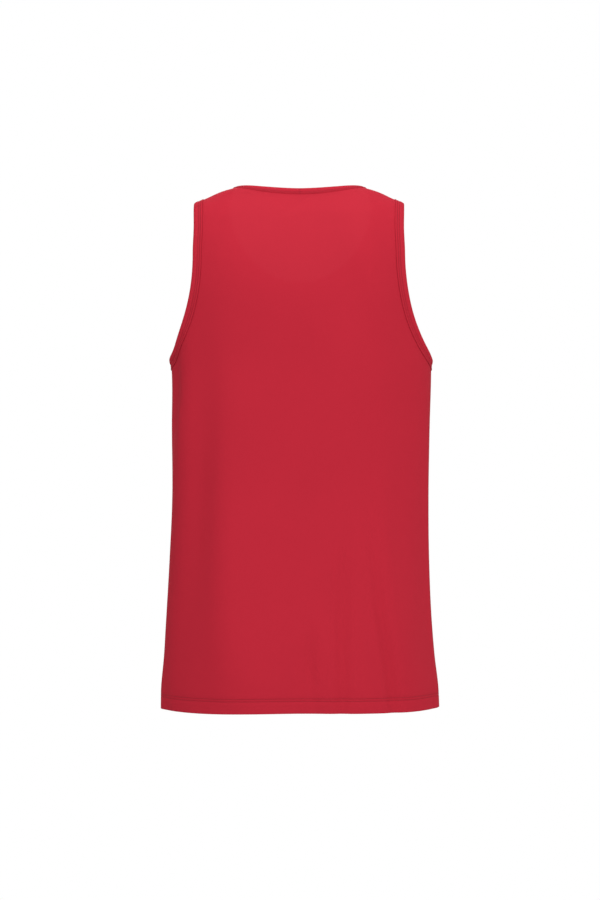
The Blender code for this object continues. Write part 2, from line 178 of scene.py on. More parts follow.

# %% [markdown]
# ## Folds and creases
#
# Hung cloth shows a few soft columns that run down from the shoulder blades and the chest, and finer
# creases where the hem swings in and out. Each is one row of a table: where it starts and ends, how
# wide it is and how far it stands out. A simulation would give other folds each time, and a row can
# be read and moved. The front's rows are placed one by one. On the back, the seventeen folds and the
# first four creases came from a least-squares solver that matched the shade they cast, within limits
# on width and depth, and several still lie on those limits. The back's other creases are given
# one by one.

# %% Tables of folds
Fold = namedtuple("Fold", "low high across_low across_high spread rise")
FOLDS = {
    BACK: (
        Fold(-0.950, 0.049, -0.209, -0.130, 0.0372, -0.0065),
        Fold(-0.674, -0.314, -0.153, -0.133, 0.0236, -0.0065),
        Fold(-0.794, -0.288, -0.128, -0.144, 0.0448, 0.0097),
        Fold(-0.252, 0.060, -0.136, -0.050, 0.0284, 0.0065),
        Fold(-0.875, -0.554, -0.076, -0.033, 0.0450, 0.0065),
        Fold(-0.487, -0.074, 0.044, -0.035, 0.0450, -0.0055),
        Fold(-0.250, -0.012, -0.003, 0.015, 0.0450, 0.0032),
        Fold(-0.574, -0.369, 0.004, 0.012, 0.0310, -0.0015),
        Fold(-0.997, -0.593, -0.025, 0.093, 0.3000, -0.0138),
        Fold(-0.650, -0.466, 0.049, 0.040, 0.0189, 0.0030),
        Fold(-0.723, -0.433, 0.053, 0.041, 0.0366, -0.0065),
        Fold(-0.325, -0.067, 0.073, 0.093, 0.0431, -0.0060),
        Fold(-0.250, -0.001, 0.105, 0.091, 0.0450, 0.0065),
        Fold(-0.950, -0.099, 0.031, 0.191, 0.0600, 0.0115),
        Fold(-0.860, -0.039, 0.124, 0.157, 0.0287, -0.0065),
        Fold(-0.950, 0.016, 0.196, 0.113, 0.0327, -0.0065),
        Fold(-0.408, -0.149, 0.221, 0.193, 0.0191, -0.0052),
    ),
    FRONT: (
        Fold(-0.820, -0.200, -0.124, -0.108, 0.019, -0.0050),
        Fold(-0.860, -0.260, -0.088, -0.080, 0.020, 0.0034),
        Fold(-0.880, -0.360, 0.022, 0.014, 0.020, -0.0030),
        Fold(-0.840, -0.300, 0.066, 0.058, 0.021, 0.0034),
        Fold(-0.780, -0.190, 0.132, 0.116, 0.018, -0.0042),
        Fold(-0.760, -0.220, 0.176, 0.160, 0.018, 0.0028),
        Fold(-0.860, -0.520, -0.030, -0.024, 0.018, 0.0026),
    ),
}
CREASES = {
    BACK: (
        Fold(-0.836, -0.149, -0.228, -0.206, 0.0096, 0.0026),
        Fold(-0.913, -0.366, -0.149, -0.087, 0.0092, -0.0065),
        Fold(-0.950, -0.401, -0.049, -0.063, 0.0100, -0.0057),
        Fold(-0.722, -0.574, -0.010, -0.013, 0.0097, -0.0030),
        Fold(-0.445, -0.210, 0.204, 0.198, 0.0045, -0.0007),
        Fold(-0.760, -0.600, 0.004, -0.001, 0.0060, -0.0006),
        Fold(-0.760, -0.600, -0.022, -0.013, 0.0060, -0.0006),
        Fold(-0.043, 0.002, 0.038, -0.027, 0.0080, -0.0013),
        Fold(-0.330, -0.220, 0.170, 0.214, 0.0060, -0.0005),
        Fold(-0.320, -0.225, -0.176, -0.216, 0.0060, -0.0004),
    ),
    FRONT: (
        Fold(-0.450, -0.205, 0.202, 0.196, 0.0050, -0.0009),
        Fold(-0.520, -0.215, -0.200, -0.190, 0.0060, 0.0008),
        Fold(-0.760, -0.580, 0.012, 0.004, 0.0065, -0.0009),
        Fold(-0.750, -0.610, -0.040, -0.030, 0.0060, -0.0008),
        Fold(-0.740, -0.500, 0.104, 0.094, 0.0080, 0.0007),
        Fold(-0.330, -0.180, 0.060, 0.028, 0.0080, -0.0008),
        Fold(-0.310, -0.170, -0.066, -0.030, 0.0080, -0.0007),
        Fold(-0.315, -0.215, 0.166, 0.212, 0.0060, -0.0007),
        Fold(-0.325, -0.215, -0.172, -0.213, 0.0060, -0.0007),
    ),
}
SEAM_FADE = 0.0350
SHOULDER_FADE = 0.0600
CLOTH = 0.0007
SEAM_DIP = 0.0006
SEAM_DIP_WIDTH = 0.0016
HEM_ROLL = 0.0008
HEM_TURN_REACH = 0.0100
STITCH_DIP = 0.00030
STITCH_DIP_WIDTH = 0.0008
HEM_ROWS = (0.0171, 0.0205)


def faded(way, length):
    """Nothing at a seam, rising smoothly to 1 at a length from it."""
    share = np.clip(way / length, 0, 1)
    return share**2 * (3 - 2 * share)


def lifted(table, across, height):
    """How far a table's folds lift the cloth off the form."""
    lift = np.zeros(np.broadcast(across, height).shape)
    for fold in table:
        share = np.clip((height - fold.low) / (fold.high - fold.low), 0, 1)
        centre = fold.across_low + (fold.across_high - fold.across_low) * share
        lift += fold.rise * np.sin(math.pi * share) ** 2 * np.exp(-(((across - centre) / fold.spread) ** 2))
    return lift


def sewn_in(across, climb):
    """How far the side seams and the hem's two rows of stitches pull the cloth in."""
    seam = SEAM_DIP * np.exp(-((QUARTER - np.abs(across)) / SEAM_DIP_WIDTH))
    rows = sum(np.exp(-(((climb - HEM - up) / STITCH_DIP_WIDTH) ** 2)) for up in HEM_ROWS)
    return seam + STITCH_DIP * rows


print("folds:", {side: len(FOLDS[side]) + len(CREASES[side]) for side in (BACK, FRONT)})

# %% [markdown]
# ## Cloth laid on the form
#
# Sewn cloth follows the body's roundness, stands off it in folds, dips at its seams and turns up
# inside at the hem. A stack of modifiers could bend a flat sheet into this, but each would depend on
# the one before. Here one function goes from pattern to space in a single step. Panels, bindings and
# stitches all call it, so they lie on the same surface.

# %% Cloth on the form
def form_parts(side, across, climb):
    """Where the form lies and which way it leans, before the hem turns up."""
    angle = np.interp(np.abs(across), WAY, ANGLES)
    low = np.minimum(climb, UNDERARM)
    x = section("half_width", low) * np.sin(angle) ** (2 / ROUNDNESS)
    rise = np.clip((climb - UNDERARM) / UPPER_CLIMB, 0, 1)
    z = low + (shoulder_line(x) - UNDERARM) * np.sin(rise * math.pi / 2)
    half = section("half_width", z)
    deep = section("back_depth" if side == BACK else "front_depth", z)
    wide = np.minimum(x / half, 1)
    y = deep * (1 - wide**ROUNDNESS) ** (1 / ROUNDNESS)
    y = np.where(rise > 1 - 1e-9, 0, y)
    lean_x = wide ** (ROUNDNESS - 1) / half
    lean_y = (y / deep) ** (ROUNDNESS - 1) / deep
    size = np.hypot(lean_x, lean_y)
    return x, y, z, lean_x / size, lean_y / size


def cloth(side, across, climb, seams=False):
    """Points of the cloth's outer face. Below the hem's edge the sheet turns up inside."""
    across, climb = np.broadcast_arrays(np.asarray(across, float), np.asarray(climb, float))
    past = HEM - climb
    at_hem = climb < HEM + HEM_TURN_REACH
    turn = np.clip(past / (HEM_ROLL * math.pi / 2), -1, 1) * math.pi / 2
    above = np.maximum(np.abs(past) - HEM_ROLL * math.pi / 2, 0) + HEM_ROLL * (1 - np.cos(turn))
    height = np.where(at_hem, HEM + above, climb)
    inward = np.where(at_hem, HEM_ROLL * (1 + np.sin(turn)), 0)
    x, y, z, lean_x, lean_y = form_parts(side, across, height)
    fade = faded(QUARTER - np.abs(across), SEAM_FADE) * faded(UNDERARM + UPPER_CLIMB - climb, SHOULDER_FADE)
    lift = fade * lifted(FOLDS[side] + CREASES[side], across, z) - inward
    if seams:
        lift = lift - sewn_in(across, climb)
    y = np.maximum(y + lift * lean_y, 0)
    x = (x + lift * lean_x) * np.sign(across) + section("sway", z)
    near_hem = np.clip(1 - (z - HEM) / SAG_HEIGHT, 0, 1)
    z = z - near_hem**2 * smooth_read(HEM_SAG[side], "across", "drop", across)
    return np.stack([x, side * y, z], axis=-1)


def outward(side, across, climb, step=1e-3):
    """Unit normals of the cloth, pointing out of the garment."""
    across, climb = np.broadcast_arrays(np.asarray(across, float), np.asarray(climb, float))
    way = np.where(across < 0, -1, 1)
    here = cloth(side, across, climb)
    round_way = (here - cloth(side, across - way * step, climb)) * way[..., None]
    up_way = here - cloth(side, across, climb - step)
    normal = -side * np.cross(round_way, up_way)
    return normal / np.linalg.norm(normal, axis=-1, keepdims=True)


print("hem at the centre back, m:", cloth(BACK, 0.0, HEM).round(4))

# %% [markdown]
# ## The pattern's edges
#
# The curves of a real pattern are drawn once and used by every piece that touches them. The armhole
# is a quarter of an ellipse and then a straight run to the shoulder. The back neck is a shallow
# scoop and the front neck a deep U.

# %% Neck, shoulder and armhole curves
STRAP_OUTER = 0.1454
STRAP_INNER = 0.0862
ARMHOLE_CURVE_HEIGHT = 0.1462
ARMHOLE_DIP = 0.0013
FRONT_ARMHOLE_HOLLOW = 0.0060
BACK_NECK_HEIGHT = 0.0036
BACK_NECK_CURVE = 1.7
BACK_NECK_ROUNDING = 0.23
FRONT_NECK_HALF_WIDTH = 0.0965
FRONT_NECK_TOP = -0.0250
FRONT_NECK_BOTTOM = -0.1276
FRONT_NECK_CURVE = 1.7


def evenly(side, curve, count):
    """Points at equal lengths of cloth along a curve of the pattern, with both its ends."""
    steps = np.linalg.norm(np.diff(cloth(side, *curve.T), axis=0), axis=1)
    way = np.concatenate([[0], np.cumsum(steps)])
    even = np.linspace(0, way[-1], count + 1)
    return np.stack([np.interp(even, way, curve[:, k]) for k in (0, 1)], axis=-1)


def armhole_edge(side):
    """From the underarm in a quarter of an ellipse, then straight up to the shoulder."""
    turn = np.linspace(0, math.pi / 2, CURVE_SAMPLES)
    tip = on_pattern(STRAP_OUTER, UNDERARM)[0]
    curved = (QUARTER - tip) * np.sin(turn)
    curved_height = ARMHOLE_CURVE_HEIGHT * (1 - np.cos(turn))
    top = float(shoulder_line(STRAP_OUTER)) - UNDERARM
    share = np.sin(turn[1:])
    height = np.concatenate([curved_height, ARMHOLE_CURVE_HEIGHT + (top - ARMHOLE_CURVE_HEIGHT) * share])
    inward = np.concatenate([curved, QUARTER - tip + ARMHOLE_DIP * np.sin(math.pi * share) ** 2])
    if side == FRONT:
        inward = inward + FRONT_ARMHOLE_HOLLOW * np.sin(math.pi * height / top) ** 2
    across = QUARTER - inward
    x = CHEST_HALF * np.sin(np.interp(across, WAY, ANGLES)) ** (2 / ROUNDNESS)
    return np.stack([across, on_pattern(x, UNDERARM + height)[:, 1]], axis=-1)


def neck_edge(side):
    """From the shoulder seam to the middle of the back or front neck."""
    turn = np.linspace(0, 1, CURVE_SAMPLES)
    corner = float(shoulder_line(STRAP_INNER))
    if side == BACK:
        out = np.cos(turn * math.pi / 2)
        climb = out**BACK_NECK_CURVE * (1 + BACK_NECK_ROUNDING * (1 - out**8))
        return on_pattern(STRAP_INNER * out, BACK_NECK_HEIGHT + (corner - BACK_NECK_HEIGHT) * climb)
    drop = 1 - turn**2
    x_down = FRONT_NECK_HALF_WIDTH - (FRONT_NECK_HALF_WIDTH - STRAP_INNER) * drop**2
    height_down = FRONT_NECK_TOP + (corner - FRONT_NECK_TOP) * drop
    scoop = np.sin(turn[1:] * math.pi / 2)
    x_scoop = FRONT_NECK_HALF_WIDTH * np.sqrt(1 - scoop**FRONT_NECK_CURVE)
    height_scoop = FRONT_NECK_TOP - (FRONT_NECK_TOP - FRONT_NECK_BOTTOM) * scoop
    return on_pattern(np.concatenate([x_down, x_scoop]), np.concatenate([height_down, height_scoop]))


def strap_edge():
    """Along the shoulder seam, from the armhole to the neck."""
    x = np.linspace(STRAP_OUTER, STRAP_INNER, CURVE_SAMPLES)
    return on_pattern(x, shoulder_line(x))


def mirrored(half):
    """A whole edge across the middle, from its half at positive across that ends at the middle."""
    return np.concatenate([half * (-1, 1), half[-2::-1]])


def inward_lines(side, edge, towards, first, last, reach):
    """Straight lines of the pattern that run from an edge into the cloth, with the way along each."""
    along = np.gradient(edge, axis=0)
    ways = np.stack([-along[:, 1], along[:, 0]], axis=-1)
    ways /= np.linalg.norm(ways, axis=1)[:, None]
    ways *= np.where((ways * towards).sum(axis=1) < 0, -1, 1)[:, None]
    ways[0] = first
    ways[-1] = last
    lines = edge[:, None] + ways[:, None] * np.linspace(0, 1.6 * reach, 33)[:, None]
    steps = np.linalg.norm(np.diff(cloth(side, lines[..., 0], lines[..., 1]), axis=1), axis=2)
    return lines, np.concatenate([np.zeros((len(edge), 1)), np.cumsum(steps, axis=1)], axis=1)


def at_distances(lines, way, distances):
    """Pattern positions at given lengths of cloth along each inward line."""
    rows = [[np.interp(distances, w, line[:, k]) for k in (0, 1)] for line, w in zip(lines, way)]
    return np.array(rows).transpose(0, 2, 1)


print("armhole edge on one panel, points:", len(armhole_edge(BACK)))

# %% [markdown]
# ## The panels
#
# Each panel is one open sheet. Its outline is known, so the inside can be filled with small even
# triangles (a constrained Delaunay triangulation), which stay regular in the narrow straps where a
# grid of quads would be squeezed. Extra points follow the seams and the fold of the hem. Solidify
# then gives the cloth its thickness, inwards, and a UV map keeps the flat pattern in metres for the
# knit.

# %% Fill an outline with cloth
SPACING = 0.0036
SEAM_LINES = (0.0008, 0.0018, 0.0036)
FOLD_LINES = (-0.0024, -0.0014, -0.0009, -0.0004, 0.0, 0.0004, 0.0009, 0.0014, 0.0024)
ROW_LINES = (-0.0012, -0.0006, 0.0, 0.0006, 0.0012)


def panel_outline(side):
    """The closed edge of a panel's cut cloth, the hem's turn-up included."""
    turned_up = HEM - HEM_DEPTH
    columns = np.arange(-1, 1 + 1e-9, SPACING / QUARTER)
    bottom = np.stack([columns * QUARTER, np.full(len(columns), turned_up)], axis=-1)
    bottom[-1, 0] = QUARTER
    climbs = np.arange(turned_up, UNDERARM, SPACING)[:-1]
    seam = np.stack([np.full(len(climbs), QUARTER), climbs], axis=-1)
    armhole = evenly(side, armhole_edge(side), round(0.26 / SPACING))
    strap = evenly(side, strap_edge(), round(0.06 / SPACING))
    neck = evenly(side, mirrored(neck_edge(side)), round(0.30 / SPACING))
    right = np.concatenate([seam, armhole[:-1], strap[:-1]])
    return np.concatenate([bottom[1:-1], right, neck[::-1], (right * (-1, 1))[:0:-1], [(-QUARTER, turned_up)]])


def rows_inside(outline):
    """Evenly spaced places inside a closed line, with finer rows at the hem and beside the seams."""
    ahead = np.roll(outline, -1, axis=0)
    run = ahead - outline
    grid_rows = np.arange(HEM - HEM_DEPTH + SPACING, outline[:, 1].max(), SPACING)
    fine_rows = [HEM + line for line in FOLD_LINES]
    fine_rows += [HEM + up + line for up in HEM_ROWS for line in ROW_LINES]
    clear = [row for row in grid_rows if min(abs(row - fine) for fine in fine_rows) > 0.4 * SPACING]
    kept = []
    for count, row in enumerate(clear + fine_rows):
        shift = 0.5 * (count % 2)
        across = np.arange(-QUARTER, QUARTER, SPACING) + SPACING * shift
        near_seam = QUARTER - np.array(SEAM_LINES)
        if row < UNDERARM:
            across = across[np.abs(across) < QUARTER - 1.6 * SEAM_LINES[-1]]
            across = np.concatenate([-near_seam, across, near_seam[::-1]])
        crossed = (outline[:, 1] > row) != (ahead[:, 1] > row)
        crossings = outline[:, 0] + (row - outline[:, 1]) * run[:, 0] / np.where(crossed, run[:, 1], 1)
        meets = np.sort(crossings[crossed])
        inside = np.searchsorted(meets, across) % 2 == 1
        gap = np.abs(across[:, None] - meets[None]).min(axis=1)
        least = 0.0005 if row < UNDERARM else 0.35 * SPACING
        for place in across[inside & (gap > least)]:
            if row < UNDERARM or np.hypot(*(outline - (place, row)).T).min() > 0.55 * SPACING:
                kept.append((place, row))
    return kept


def filled(outline):
    """Triangles that fill a closed line of the pattern."""
    count = len(outline)
    border = [(k, (k + 1) % count) for k in range(count)]
    places = [tuple(place) for place in outline] + rows_inside(outline)
    points, _, faces, *_ = delaunay_2d_cdt([Vector(place) for place in places], border, [], 1, 1e-7)
    return np.array([tuple(point) for point in points]), faces


print("points on the edge of the back panel:", len(panel_outline(BACK)))

# %% [markdown]
# ## Cutting the panels out
#
# A cutter lays the pattern so that the knit's rows run straight up each panel. The flat cut is kept
# here as a UV map in metres, so the material can draw loops of a real size. Two attributes carry
# painted shade and light: painted shade along the needle rows that pull the hem in, and painted light
# where the front's open neck lies behind the back and lets it look lighter. Light passing through the
# cloth could be worked out instead, but it would be slow and would not survive the baking of the
# colours.

# %% Make the two panels
KNIT_MAP = "cut"
PAINTED_SHADE_AND_JOIN = "painted_shade_and_join"
PAINTED_LIGHT_THROUGH = "painted_light_through"
MARK_WIDTH = 0.0005


def cloth_piece(name, points, faces, cut, flip, **marks):
    """A mesh of cloth with its flat cut kept as a UV map in metres, and marks as attributes."""
    mesh = bpy.data.meshes.new(name)
    faces = [tuple(face)[::-1] if flip else tuple(face) for face in faces]
    mesh.from_pydata(points.tolist(), [], faces)
    mesh.shade_smooth()
    layer = mesh.uv_layers.new(name=KNIT_MAP)
    corners = np.array([loop.vertex_index for loop in mesh.loops])
    layer.data.foreach_set("uv", np.asarray(cut, np.float32)[corners].ravel())
    for mark, values in marks.items():
        layer = mesh.attributes.new(mark, "FLOAT", "POINT")
        layer.data.foreach_set("value", np.asarray(values, np.float32).ravel())
    piece = bpy.data.objects.new(name, mesh)
    bpy.context.scene.collection.objects.link(piece)
    return piece


def flat_area(piece):
    """The area of an open sheet of cloth, in square metres."""
    return sum(face.area for face in piece.data.polygons)


def thickened(piece, thickness):
    """Gives a sheet its thickness, inwards, and keeps the result as a plain mesh."""
    solid = piece.modifiers.new("thickness", "SOLIDIFY")
    solid.thickness = thickness
    solid.offset = -1
    solid.use_even_offset = False
    mesh = bpy.data.meshes.new_from_object(piece.evaluated_get(bpy.context.evaluated_depsgraph_get()))
    piece.modifiers.clear()
    piece.data = mesh


def hem_row_shade(climb):
    """1 along the hem's needle rows, fading to nothing beside them: where the knit gets painted shade of the
    pulled-in groove.
    """
    return sum(np.exp(-(((climb - HEM - up) / MARK_WIDTH) ** 2)) for up in HEM_ROWS)


def neck_behind(points):
    """1 where the front's open neck lies straight through from the back panel, else 0: where the back gets
    painted light.
    """
    edge = cloth(FRONT, *neck_edge(FRONT).T)
    half_width = np.interp(points[:, 2], edge[::-1, 2], edge[::-1, 0], left=0)
    return np.clip((half_width - np.abs(points[:, 0])) / 0.0040 + 0.5, 0, 1) * (points[:, 2] > edge[-1, 2])


def panel(name, side):
    """One panel of cloth, cut, turned up at the hem and laid on the form."""
    places, faces = filled(panel_outline(side))
    points = cloth(side, *places.T, True)
    marks = {PAINTED_SHADE_AND_JOIN: hem_row_shade(places[:, 1])}
    if side == BACK:
        marks[PAINTED_LIGHT_THROUGH] = neck_behind(points)
    piece = cloth_piece(name, points, faces, places, side == BACK, **marks)
    return piece, flat_area(piece)


areas = {}
panels = {}
for side, name in ((BACK, "back_cloth"), (FRONT, "front_cloth")):
    panels[side], areas[name] = panel(name, side)
    print(name, "faces:", len(panels[side].data.polygons), "area, m2:", round(areas[name], 4))
    thickened(panels[side], CLOTH)

# %% [markdown]
# ## The bindings
#
# A binding is a strip folded over the raw edge. On this garment it lies flat where the two rows of
# stitches hold it, and stands in a soft roll at the very edge. Its section is drawn once as a list of
# distances from the edge and heights over the panel, and is swept round the opening on the pattern,
# so it follows every curve that the panel makes.

# %% The bindings' section
Opening = namedtuple("Opening", "width rows pull puff edge taper band stations")
# pull sets both the dip of a binding's needle rows and their painted shade; band is painted shade over the lower
# part of the neck binding.
NECK = Opening(0.0081, (0.0047, 0.0063), 0.12, 0.0003, -0.0004, 0.0024, 0.22, 132)
ARMHOLE = Opening(0.0135, (0.0066, 0.0100), 1.0, 0.0013, 0.00025, 0.0009, 0.0, 116)
BINDING_LAYER = 0.0011
WALL = 0.0012
LIP_TURNS = 7
JOIN = 0.6


def binding_heights(opening, distances, puff):
    """Height of a binding over its panel, at distances from the opening's edge."""
    roll = opening.rows[0]
    share = np.clip(1 - distances / roll, 0, 1)
    height = BINDING_LAYER + 0.00035 * np.sin(np.clip(distances / roll, 0, 1) * math.pi)
    height = height + puff * share
    for row in opening.rows:
        height = height - 0.00042 * opening.pull * np.exp(-(((distances - row) / 0.0008) ** 2))
    edge = np.clip((opening.width - distances) / opening.taper, 0, 1)
    return opening.edge + (height - opening.edge) * np.sqrt(edge * (2 - edge))


def binding_distances(opening):
    """Distances across a binding's leaf, closer together where the section bends."""
    bends = [opening.width - opening.taper * back for back in (0, 0.2, 0.5, 1.0)]
    rows = [row + off for row in opening.rows for off in (-0.0012, -0.0006, 0, 0.0006, 0.0012)]
    flat = list(np.arange(opening.width - 0.0020, 0.0004, -0.0014))
    apart = [place for place in flat if min(abs(place - row) for row in rows) > 0.0008]
    return np.array(sorted(set(bends + rows + apart + [0.0]), reverse=True))


def binding_rings(side, opening, edge_lines, puffs):
    """Sections of a binding along one panel: over the cloth, round the lip and back inside."""
    lines, way = edge_lines
    distances = binding_distances(opening)
    leaf = at_distances(lines, way, distances)
    points = cloth(side, leaf[..., 0], leaf[..., 1])
    normals = outward(side, leaf[..., 0], leaf[..., 1])
    heights = np.array([binding_heights(opening, distances, puff) for puff in puffs])[..., None]
    middle = points[:, -1] - normals[:, -1] * WALL / 2
    free = points[:, -1] - cloth(side, lines[:, 1, 0], lines[:, 1, 1])
    free /= np.linalg.norm(free, axis=1)[:, None]
    radius = WALL / 2 + heights[:, -1]
    turns = np.linspace(0, math.pi, LIP_TURNS + 2)[1:-1]
    lip = [middle + radius * (math.cos(turn) * normals[:, -1] + 0.9 * math.sin(turn) * free) for turn in turns]
    over = points + normals * heights
    under = (points - normals * (WALL + heights))[:, ::-1]
    return np.concatenate([over, np.array(lip).transpose(1, 0, 2), under], axis=1)


def binding_shade(opening, count):
    """Painted shade on a binding: 1 along its needle rows and sewn edge, plus its band, on every section of its
    ring.
    """
    distances = binding_distances(opening)
    rows = sum(np.exp(-(((distances - row) / 0.0006) ** 2)) for row in opening.rows)
    leaf = opening.pull * (rows * 0.9 + 1.1 * (distances > opening.width - 0.0003))
    leaf = leaf + opening.band * faded(distances - 0.0030, 0.0020)
    return np.tile(np.concatenate([leaf, np.zeros(LIP_TURNS), leaf[::-1]]), (count, 1))


for label, opening in (("neck", NECK), ("armhole", ARMHOLE)):
    print(label, "binding, lines across a leaf:", len(binding_distances(opening)))

# %% [markdown]
# ## Sweeping a binding round its opening
#
# A bevelled curve would be the quickest way to a strip, but it has one section all the way. Here the
# sections are set one by one, along the back panel and then back along the front. So the roll can be
# fullest at the underarm and flatten towards the shoulder, and the needle rows keep their distance
# from the edge. A darker section marks where the strip's two ends are joined.

# %% Make the three bindings

def swept(name, rings, flip, marks):
    """A closed ring of cloth from its sections, with the strip's length and width as its cut."""
    count, across = rings.shape[:2]
    points = rings.reshape(-1, 3)
    faces = []
    for i in range(count):
        ahead = (i + 1) % count
        for j in range(across - 1):
            faces.append((i * across + j, i * across + j + 1, ahead * across + j + 1, ahead * across + j))
    along = np.concatenate([[0], np.cumsum(np.linalg.norm(np.diff(rings[:, across // 2], axis=0), axis=1))])
    over = np.concatenate([[0], np.cumsum(np.linalg.norm(np.diff(rings[0], axis=0), axis=1))])
    cut = np.stack(np.broadcast_arrays(along[:, None], over[None]), axis=-1).reshape(-1, 2)
    piece = cloth_piece(name, points, faces, cut, flip, **{PAINTED_SHADE_AND_JOIN: marks})
    return piece, float(along[-1]), float(over[-1])


def armhole_lines(side, hand):
    """Inward lines of an armhole on one panel, from the side seam to the shoulder."""
    edge = evenly(side, armhole_edge(side), ARMHOLE.stations) * (hand, 1)
    return inward_lines(side, edge, (-hand, -1), (0, -1), (-hand, 0), ARMHOLE.width)


def neck_lines(side):
    """Inward lines of the neck on one panel, from the shoulder at negative across to the other."""
    edge = evenly(side, mirrored(neck_edge(side)), NECK.stations)
    towards = edge - (0, UNDERARM + UPPER_CLIMB)
    return inward_lines(side, edge, towards, (-1, 0), (1, 0), NECK.width)


def ring(opening, edge_lines, puffs):
    """A binding's sections all round its opening: along the back panel, then back along the front."""
    rings = {side: binding_rings(side, opening, edge_lines[side], puffs) for side in (BACK, FRONT)}
    for side in (BACK, FRONT):
        rings[side][[0, -1], :, 1] = 0
    return np.concatenate([rings[BACK], rings[FRONT][-2:0:-1]])


sizes = {}
bindings = {}
neck_ways = {side: neck_lines(side) for side in (BACK, FRONT)}
neck_puffs = np.full(NECK.stations + 1, NECK.puff)
neck_ring = ring(NECK, neck_ways, neck_puffs)
neck_shade_and_join = binding_shade(NECK, len(neck_ring))
neck_shade_and_join[NECK.stations // 2] += JOIN
bindings["neck"], *sizes["neck"] = swept("neck_strip", neck_ring, False, neck_shade_and_join)
armhole_ways = {}
armhole_puffs = ARMHOLE.puff * np.linspace(1, 0, ARMHOLE.stations + 1) ** 2
for hand, word in ((1, "left"), (-1, "right")):
    armhole_ways[hand] = {side: armhole_lines(side, hand) for side in (BACK, FRONT)}
    armhole_ring = ring(ARMHOLE, armhole_ways[hand], armhole_puffs)
    marks = binding_shade(ARMHOLE, len(armhole_ring))
    marks[0] += JOIN
    bindings[word], *sizes[word] = swept(word + "_armhole_strip", armhole_ring, hand > 0, marks)
for word, piece in bindings.items():
    print(piece.name, "area, m2:", round(flat_area(piece), 4))
    thickened(piece, CLOTH)
    print(piece.name, "length and width over the fold, m:", [round(size, 3) for size in sizes[word]])

# %% [markdown]
# ## Stitches
#
# A twin needle leaves two rows of short straight stitches. Each stitch is a small rounded bar of
# thread. Geometry Nodes lay one bar on every place of a row, turned along the row and out of the
# cloth, with a little unevenness. The places come from the pattern, as a cloud of points that carry
# two directions, and the tree ends in real meshes and a material so that nothing is left to a
# modifier.

# %% Places for stitches
STITCH = 0.0025
PITCH = STITCH * 1.12
THREAD = 0.00042


def along_row(points, normals, pitch):
    """Evenly spaced places on a line in space, with the directions along it and out of the cloth."""
    way = np.concatenate([[0], np.cumsum(np.linalg.norm(np.diff(points, axis=0), axis=1))])
    places = np.arange(pitch / 2, way[-1], pitch)
    spots = np.stack([np.interp(places, way, points[:, k]) for k in range(3)], axis=-1)
    outs = np.stack([np.interp(places, way, normals[:, k]) for k in range(3)], axis=-1)
    ahead = np.stack([np.interp(places + pitch / 4, way, points[:, k]) for k in range(3)], axis=-1)
    back = np.stack([np.interp(places - pitch / 4, way, points[:, k]) for k in range(3)], axis=-1)
    return spots, ahead - back, outs


def stitch_cloud(name, rows):
    """A mesh of loose points for stitches, with their directions as attributes."""
    spots, alongs, outs = (np.concatenate([row[k] for row in rows]) for k in range(3))
    mesh = bpy.data.meshes.new(name)
    mesh.from_pydata(spots.tolist(), [], [])
    for word, vectors in (("along", alongs), ("out", outs)):
        layer = mesh.attributes.new(word, "FLOAT_VECTOR", "POINT")
        layer.data.foreach_set("vector", np.asarray(vectors, np.float32).ravel())
    piece = bpy.data.objects.new(name, mesh)
    bpy.context.scene.collection.objects.link(piece)
    return piece


print("from one stitch to the next, m:", PITCH)

# %% [markdown]
# ## A tree that lays stitches
#
# A sewing machine makes the same stitch thousands of times. Copying an object for each would fill
# the file, and a curve through them would give one long cord. The tree shapes one bar of thread and
# puts it on every point, turned by the point's two directions, and changes its size a little by a
# fixed seed, so that every run gives the same row.

# %% The stitching tree
def add_node(tree, kind, inputs=(), **settings):
    """One node of a tree: settings are its properties, inputs its values or links by name."""
    node = tree.nodes.new(kind)
    for key, value in settings.items():
        setattr(node, key, value)
    for key, value in dict(inputs).items():
        if isinstance(value, bpy.types.NodeSocket):
            tree.links.new(value, node.inputs[key])
        else:
            node.inputs[key].default_value = value
    return node


